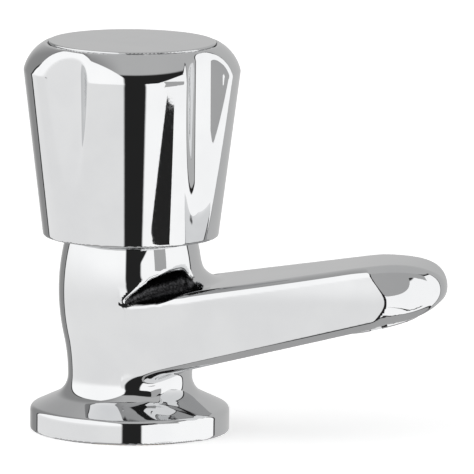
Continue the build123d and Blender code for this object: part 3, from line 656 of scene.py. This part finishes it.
# where the spout's outlines start, behind the station where the spout itself is cut off
SPOUT_BACK, PLAN_BACK = -9, -26
NOSE_START, NOSE_HALF_WIDTH, NOSE_OVERRUN = 64.6, 12.0, 1.4
NOSE_TURN_RADIUS, NOSE_TURN, NOSE_TURN_POINTS = 2.0, 17.0, 10
NOSE_ROUND, NOSE_LEVEL, NOSE_REACH = 0.16, 35.4, 5.0
NOSE_RISE, NOSE_FALL = (6, 58), (64, 75)
SPOUT_EDGE_RADIUS, ROOT_STATION, ROOT_INSET = 2.3, 1.5, 0.09
CREASE_TOP_RADIUS, CREASE_LOW_RADIUS, CREASE_HEIGHTS = 6.0, 2.6, (22, 28)
SEAM_RADIUS, CREASE_SIDE_RADIUS, CREASE_SIDE_DEPTHS = 0.05, 0.9, (-4.0, -1.0)
ROOT_EDGE_GROWTH, ROOT_EDGE_SPAN = 0.4, (6, 26)
# box in which the mesh is sampled, and bounds of the outlines' tables
BODY_BOX = ((-25.5, -25.5, -1.0), (79.5, 25.5, 50.5))
COLUMN_TABLE = {"low": (-0.5, -4), "high": (40, 54)}
SPOUT_TABLE = {"low": (-26, -4), "high": (84, 54)}
PLAN_TABLE = {"low": (-26, -1), "high": (84, 30)}

side_turn = 2 * asin(
    (BELLY_RADIUS - NECK_RADIUS) / sqrt((BELLY_RADIUS - NECK_RADIUS) ** 2 + (BELLY_HEIGHT - NECK_HEIGHT) ** 2)
)
neck_curve = (BELLY_HEIGHT - NECK_HEIGHT) / sin(side_turn) - BELLY_CURVE
inflection = BELLY_HEIGHT - BELLY_CURVE * sin(side_turn)


def column_radius(z):
    """Radius of the column's side: a belly arc above and a neck arc below, tangent to each other."""
    upper = BELLY_RADIUS - BELLY_CURVE + np.sqrt(BELLY_CURVE**2 - (z - BELLY_HEIGHT) ** 2)
    from_neck = np.minimum((z - NECK_HEIGHT) ** 2, neck_curve**2)
    lower = NECK_RADIUS + neck_curve - np.sqrt(neck_curve**2 - from_neck)
    return np.where(z >= inflection, upper, lower)


cove_centre = (NECK_RADIUS + COVE_RADIUS, NECK_HEIGHT)
cove = arc_points(cove_centre, COVE_RADIUS, 270 - CONE_ANGLE, 180)
column_half = [(0, 0)]
column_half += rounded_corner((0, 0), (FLANGE_RADIUS, 0), (FLANGE_RADIUS, RIM_HEIGHT), FOOT_CORNER)
column_half += rounded_corner((FLANGE_RADIUS, 0), (FLANGE_RADIUS, RIM_HEIGHT), cove[0], RIM_CORNER)
column_half += cove
for z in np.linspace(NECK_HEIGHT, COLUMN_TOP, COLUMN_STEPS)[1:]:
    column_half.append((float(column_radius(np.array(z))), z))
column_half += [(0, COLUMN_TOP)]
column_outline = Outline(turned(column_half), **COLUMN_TABLE)

belly_slope = tan(radians(BELLY_LINE_ANGLE))
crest_end = (CREST_END, CREST_AT_AXIS + CREST_SLOPE * CREST_END)
belly_end = (BELLY_LINE_END, BELLY_LINE_AT_AXIS + belly_slope * BELLY_LINE_END)
crest_run = 1 / sqrt(1 + CREST_SLOPE**2)
belly_run = cos(radians(BELLY_LINE_ANGLE))
profile = [(SPOUT_BACK, CREST_AT_AXIS + SPOUT_BACK * CREST_SLOPE)]
profile += bezier_points(
    crest_end,
    (crest_end[0] + CREST_HANDLE * crest_run, crest_end[1] + CREST_HANDLE * crest_run * CREST_SLOPE),
    (SPOUT_TIP[0], SPOUT_TIP[1] + TIP_HANDLE),
    SPOUT_TIP,
)
profile += bezier_points(
    SPOUT_TIP,
    (SPOUT_TIP[0], SPOUT_TIP[1] - TIP_HANDLE),
    (belly_end[0] + BELLY_HANDLE * belly_run, belly_end[1] + BELLY_HANDLE * belly_run * belly_slope),
    belly_end,
)
profile += [(SPOUT_BACK, BELLY_LINE_AT_AXIS + SPOUT_BACK * belly_slope)]
profile_outline = Outline(profile, **SPOUT_TABLE)

root_width = BELLY_RADIUS - ROOT_INSET
plan_taper = (root_width - NOSE_HALF_WIDTH) / (NOSE_START - ROOT_STATION)
nose_heading = -atan(plan_taper)
turn_centre = (
    NOSE_START + NOSE_TURN_RADIUS * sin(nose_heading), NOSE_HALF_WIDTH - NOSE_TURN_RADIUS * cos(nose_heading)
)
turn_start = 90 + degrees(nose_heading)
nose_turn = arc_points(turn_centre, NOSE_TURN_RADIUS, turn_start, turn_start - NOSE_TURN, NOSE_TURN_POINTS)
facet_start = nose_turn[-1]
heading = nose_heading - radians(NOSE_TURN)
plan_tip = (SPOUT_TIP[0] + NOSE_OVERRUN, 0.0)
chord = sqrt((plan_tip[0] - facet_start[0]) ** 2 + facet_start[1] ** 2) / 3
nose = bezier_points(
    facet_start,
    (facet_start[0] + chord * cos(heading), facet_start[1] + chord * sin(heading)),
    (plan_tip[0], chord),
    plan_tip,
)
plan = [(PLAN_BACK, root_width + plan_taper * (ROOT_STATION - PLAN_BACK))] + nose_turn + nose[1:]
plan_outline = Outline(mirrored(plan), **PLAN_TABLE)


def body_skin(p):
    """Signed distance to the outside of the body: the column and the spout blended into it."""
    x, y, z = p.T
    r = np.hypot(x, y)
    column = column_outline(r, z)
    side_profile = profile_outline(x, z)
    # the spout's plan keeps its outline and starts as wide as the column at each height
    wall_root = column_radius(np.clip(z, NECK_HEIGHT, COLUMN_TOP)) - ROOT_INSET
    along = np.clip((x - ROOT_STATION) / (NOSE_START - ROOT_STATION), 0, 1)
    width = wall_root + (NOSE_HALF_WIDTH - wall_root) * along
    reference = root_width + (NOSE_HALF_WIDTH - root_width) * along
    # above and below its middle the side turns into the nose's facet earlier
    early = NOSE_REACH * (1 - np.exp(-NOSE_ROUND * (z - NOSE_LEVEL) ** 2 / NOSE_REACH))
    early *= smooth(x, *NOSE_RISE) * (1 - smooth(x, *NOSE_FALL))
    walls = plan_outline(x + early, np.abs(y) * reference / width)
    upper = smooth(z, *CREASE_HEIGHTS)
    crease = CREASE_LOW_RADIUS + (CREASE_TOP_RADIUS - CREASE_LOW_RADIUS) * upper
    filled = round_union(side_profile, column, crease)
    edge = SPOUT_EDGE_RADIUS + ROOT_EDGE_GROWTH * (1 - smooth(x, *ROOT_EDGE_SPAN)) * upper
    spout = np.maximum(round_cut(filled, walls, edge), ROOT_STATION - x)
    seam = SEAM_RADIUS + CREASE_SIDE_RADIUS * smooth(filled, *CREASE_SIDE_DEPTHS)
    return round_union(column, spout, seam)


# hollow between column and spout, on both sides, as beads of (x, y, z, radius)
POCKET = ((2.0, 17.9, 33.4, 0.5), (9.6, 15.4, 36.7, 2.9), (16.0, 10.6, 38.3, 3.4))
POCKET_LIP = 1.1
# painted shade: depths below the skin over which the hollow is darkened, and the lip left bright
SHADE_DEPTHS, UNSHADED_RIM = (0.15, 0.5), (0.1, 0.3)


def pocket(p):
    """Distance to the tapered hollow, a chain of cones between its beads."""
    q = np.stack([p[:, 0], np.abs(p[:, 1]), p[:, 2]], -1)
    nearest = np.full(len(q), FAR)
    for start, end in zip(POCKET, POCKET[1:]):
        a, b = np.array(start[:3]), np.array(end[:3])
        t = np.clip((q - a) @ (b - a) / ((b - a) @ (b - a)), 0, 1)
        off = np.linalg.norm(q - a - t[:, None] * (b - a), axis=1)
        nearest = np.minimum(nearest, off - start[3] - (end[3] - start[3]) * t)
    return nearest


def hollow_shade_mask(points):
    """1 where shade is painted inside the hollow, 0 on its lip and elsewhere."""
    below_skin = smooth(-body_skin(points), *SHADE_DEPTHS)
    return below_skin * (1 - smooth(pocket(points), *UNSHADED_RIM))


# waterway, sockets and outlet inside the body
CUT_START, SEAT_BORE, SEAT_TOP, SEAT_RIM, CHAMBER_FLOOR = 12.0, 6.25, 22.0, 8.0, 19.5
CHAMBER_RADIUS, CHAMBER_TOP, BONNET_BORE, CUT_END = 9.3, 36.0, 10.3, 52.0
CHAMBER_TABLE = {"low": (-0.5, 4), "high": (30, 54)}
SOCKET_RADIUS, SOCKET_DEPTH = 10.53, 13.5
RECESS_INNER, RECESS_OUTER, RECESS_DEPTH = 13.4, 19.6, 1.5
CHANNEL_RADIUS, CHANNEL_START, CHANNEL_STOP = 5.2, (0, 0, 28.6), (63.0, 0, 34.9)
OUTLET_STATION, OUTLET_CLEAR = 62.0, 4
LAND_RADIUS, LAND_DEPTH, BORE_RADIUS, BORE_DEPTH = 9.6, 0.9, 8.3, 9.0

chamber_half = [
    (0, CUT_START), (SEAT_BORE, CUT_START), (SEAT_BORE, SEAT_TOP), (SEAT_RIM, SEAT_TOP),
    (SEAT_RIM, CHAMBER_FLOOR), (CHAMBER_RADIUS, CHAMBER_FLOOR), (CHAMBER_RADIUS, CHAMBER_TOP),
    (BONNET_BORE, CHAMBER_TOP), (BONNET_BORE, CUT_END), (0, CUT_END),
]
chamber_outline = Outline(turned(chamber_half), passes=0, **CHAMBER_TABLE)
tilt = radians(BELLY_LINE_ANGLE)
outlet_axis = np.array((sin(tilt), 0, -cos(tilt)))
outlet_point = np.array((OUTLET_STATION, 0, BELLY_LINE_AT_AXIS + belly_slope * OUTLET_STATION))
land_mouth = outlet_point + OUTLET_CLEAR * outlet_axis
land_floor = outlet_point - LAND_DEPTH * outlet_axis
bore_floor = outlet_point - BORE_DEPTH * outlet_axis


def body_field(p):
    """Signed distance to the body with its hollows, sockets and waterway."""
    z = p[:, 2]
    r = np.hypot(p[:, 0], p[:, 1])
    f = round_cut(body_skin(p), -pocket(p), POCKET_LIP)
    f = np.maximum(f, -np.maximum(r - SOCKET_RADIUS, z - SOCKET_DEPTH))
    recess = np.maximum(np.maximum(r - RECESS_OUTER, RECESS_INNER - r), z - RECESS_DEPTH)
    f = np.maximum(f, -recess)
    f = np.maximum(f, -chamber_outline(r, z))
    f = np.maximum(f, -tube(p, CHANNEL_START, CHANNEL_STOP, CHANNEL_RADIUS))
    f = np.maximum(f, -tube(p, land_mouth, land_floor, LAND_RADIUS))
    return np.maximum(f, -tube(p, outlet_point, bore_floor, BORE_RADIUS))


# painted shade darkens the hollow between column and spout, through its mask
solid_piece(
    "tap_body_skin", body_field, BODY_BOX, 0.0, chrome_painted_shade, "tap_body", ["tap_body"], hollow_shade_mask
)

# handle
SHOULDER_RADIUS, SHOULDER_HEIGHT, HANDLE_BOTTOM = 26.2, 87.9, 47.5
BOTTOM_RADIUS, HANDLE_TOP, CROWN_RADIUS = 21.2, 94.4, 21.2
BULGE, BULGE_SINK, HANDLE_FOOT, HANDLE_WALL, CROWN_POINTS = (24.75, 91.2), 0.4, 0.5, 2.4, 60
FLUTES, FLUTE_DEPTH_RADIUS, FLUTE_CUT_RADIUS, FLUTE_EDGE, FLUTE_ANGLE = 4, 21.6, 10.3, 1.3, 60.0
CAP_RECESS_RADIUS, CAP_RECESS_DEPTH = 20.35, 1.6
WELL_RADIUS, BOSS_RADIUS, BOSS_BOTTOM, INSERT_TOP, WELL_FLOOR, WEB_HOLE = 7.8, 9.7, 65.5, 76.0, 77.5, 2.05
RIB_HALF, RIB_BOTTOM, INSERT_HOLE, LUG_REACH, LUG_HALF = 0.8, 70.0, 6.65, 7.65, 1.25
CUT_OVERLAP = 1
HANDLE_BOX = ((-27.5, -27.5, 46.5), (27.5, 27.5, 95.5))
HANDLE_TABLE = {"low": (-0.5, 43), "high": (36, 99)}


def circle_through(a, b, c):
    """Centre of the circle through three points in a plane."""
    a, b, c = Vector(a), Vector(b), Vector(c)
    d = 2 * (a.x * (b.y - c.y) + b.x * (c.y - a.y) + c.x * (a.y - b.y))
    x = ((a @ a) * (b.y - c.y) + (b @ b) * (c.y - a.y) + (c @ c) * (a.y - b.y)) / d
    y = ((a @ a) * (c.x - b.x) + (b @ b) * (a.x - c.x) + (c @ c) * (b.x - a.x)) / d
    return Vector((x, y))


def knob_half(inset, top, foot):
    """Half of the turned outline, set in from the outside, with its foot rounded to a radius."""
    low = (BOTTOM_RADIUS - inset, HANDLE_BOTTOM)
    shoulder = (SHOULDER_RADIUS - inset, SHOULDER_HEIGHT)
    bulge = (BULGE[0] - inset, BULGE[1] - BULGE_SINK * (HANDLE_TOP - top))
    crown = (CROWN_RADIUS - inset, top)
    centre = circle_through(shoulder, bulge, crown)
    radius = (Vector(crown) - centre).length
    start = degrees(atan2(shoulder[1] - centre.y, shoulder[0] - centre.x))
    end = degrees(atan2(crown[1] - centre.y, crown[0] - centre.x))
    points = [(0, HANDLE_BOTTOM)]
    points += rounded_corner((0, HANDLE_BOTTOM), low, shoulder, foot) if foot else [low]
    points += arc_points(centre, radius, start, end, CROWN_POINTS)
    return points + [(0, top)]


cavity_top = HANDLE_TOP - CAP_RECESS_DEPTH - HANDLE_WALL
knob_outline = Outline(turned(knob_half(0, HANDLE_TOP, HANDLE_FOOT)), **HANDLE_TABLE)
hollow_outline = Outline(turned(knob_half(HANDLE_WALL, cavity_top, 0)), passes=0, **HANDLE_TABLE)
flute_reach = FLUTE_DEPTH_RADIUS + FLUTE_CUT_RADIUS


def handle_field(p):
    """Signed distance to the fluted handle, hollow below and ribbed round its boss."""
    x, y, z = p.T
    r = np.hypot(x, y)
    flutes = np.full(len(p), FAR)
    ribs = np.full(len(p), FAR)
    for k in range(FLUTES):
        a = radians(FLUTE_ANGLE + 360 / FLUTES * k)
        flutes = np.minimum(flutes, np.hypot(x - flute_reach * cos(a), y - flute_reach * sin(a)))
        ribs = np.minimum(ribs, np.abs(y * cos(a) - x * sin(a)) - RIB_HALF)
    f = round_cut(knob_outline(r, z), FLUTE_CUT_RADIUS - flutes, FLUTE_EDGE)
    hollow = np.maximum(hollow_outline(r, z), FLUTE_CUT_RADIUS + HANDLE_WALL - flutes)
    below = np.maximum(r - BOTTOM_RADIUS + HANDLE_WALL, z - HANDLE_BOTTOM - CUT_OVERLAP)
    hollow = np.minimum(hollow, below)
    hollow = np.maximum(hollow, -np.maximum(ribs, RIB_BOTTOM - z))
    hollow = np.maximum(hollow, -np.maximum(r - BOSS_RADIUS, BOSS_BOTTOM - z))
    f = np.maximum(f, -hollow)
    f = np.maximum(f, -np.maximum(r - CAP_RECESS_RADIUS, HANDLE_TOP - CAP_RECESS_DEPTH - z))
    f = np.maximum(f, -np.maximum(r - WELL_RADIUS, WELL_FLOOR - z))
    f = np.maximum(f, -np.maximum(r - WEB_HOLE, INSERT_TOP - CUT_OVERLAP - z))
    lugs = np.maximum(np.maximum(np.abs(x) - LUG_REACH, np.abs(y) - LUG_HALF), z - INSERT_TOP)
    return np.maximum(f, -np.minimum(np.maximum(r - INSERT_HOLE, z - INSERT_TOP), lugs))


solid_piece("handle_shell", handle_field, HANDLE_BOX, HANDLE_BOTTOM, chrome, "handle", ["handle"])

# tail: half-inch pipe thread with its run-out groove, 14 turns to the inch
THREAD_PITCH, THREAD_DEPTH, CREST_FLAT = 1.814, 1.16, 0.16
SHANK_RADIUS, SHANK_BORE, SHANK_BOTTOM, SHANK_TOP, SHANK_LEAD = 10.48, 6.5, -50.0, 12.0, 1.0
GROOVE_RADIUS, GROOVE_BOTTOM, GROOVE_TOP, GROOVE_WALL = 9.3, -36.0, -34.8, 0.01
END_FACE_STEP, BORE_CHAMFER, TOP_FACE_STEP = 1.5, 0.4, 1.0
TURN_STEPS, PITCH_STEPS = 72, 8


def thread_radius(angle, z):
    """Radius of a right-hand thread with rounded crests and roots."""
    phase = np.abs(((z / THREAD_PITCH - angle / (2 * pi)) % 1.0) * 2 - 1)
    return SHANK_RADIUS - THREAD_DEPTH * smooth(phase, CREST_FLAT, 1 - CREST_FLAT)


thread_rows = np.arange(SHANK_BOTTOM, SHANK_TOP, THREAD_PITCH / PITCH_STEPS)
groove_rows = [GROOVE_BOTTOM, GROOVE_BOTTOM + GROOVE_WALL, GROOVE_TOP - GROOVE_WALL, GROOVE_TOP]
rows = np.sort(np.concatenate([thread_rows, groove_rows, [SHANK_TOP]]))
angles = np.arange(TURN_STEPS) * 2 * pi / TURN_STEPS
z_grid, a_grid = np.meshgrid(rows, angles, indexing="ij")
r_grid = np.minimum(thread_radius(a_grid, z_grid), SHANK_RADIUS - SHANK_LEAD + (z_grid - SHANK_BOTTOM))
in_groove = (z_grid > GROOVE_BOTTOM + GROOVE_WALL / 2) & (z_grid < GROOVE_TOP - GROOVE_WALL / 2)
r_grid[in_groove] = GROOVE_RADIUS

# rings of (radius, height) over the top face, down the bore and out over the bottom face
inner_rings = (
    (SHANK_BORE + TOP_FACE_STEP, SHANK_TOP),
    (SHANK_BORE, SHANK_TOP),
    (SHANK_BORE, SHANK_BOTTOM + BORE_CHAMFER),
    (SHANK_BORE + BORE_CHAMFER, SHANK_BOTTOM),
    (SHANK_RADIUS - SHANK_LEAD - END_FACE_STEP, SHANK_BOTTOM),
)
r_all = np.concatenate([r_grid] + [np.full((1, TURN_STEPS), r) for r, _ in inner_rings])
z_all = np.concatenate([z_grid] + [np.full((1, TURN_STEPS), z) for _, z in inner_rings])
a_all = np.tile(angles, (len(r_all), 1))
tail_points = np.stack([r_all * np.cos(a_all), r_all * np.sin(a_all), z_all], -1).reshape(-1, 3)
ring_count = len(r_all)


def vertex(ring, turn):
    """Number of the vertex at a ring and a step round it, both counted round and round."""
    return (ring % ring_count) * TURN_STEPS + turn % TURN_STEPS


i, j = np.meshgrid(np.arange(ring_count), np.arange(TURN_STEPS), indexing="ij")
tail_faces = np.stack([vertex(i, j), vertex(i, j + 1), vertex(i + 1, j + 1), vertex(i + 1, j)], -1)
new_piece(
    "threaded_tail", tail_points, tail_faces.reshape(-1, 4), None, finishes["brass"], "tap_body",
    ["inlet_shank"],
)
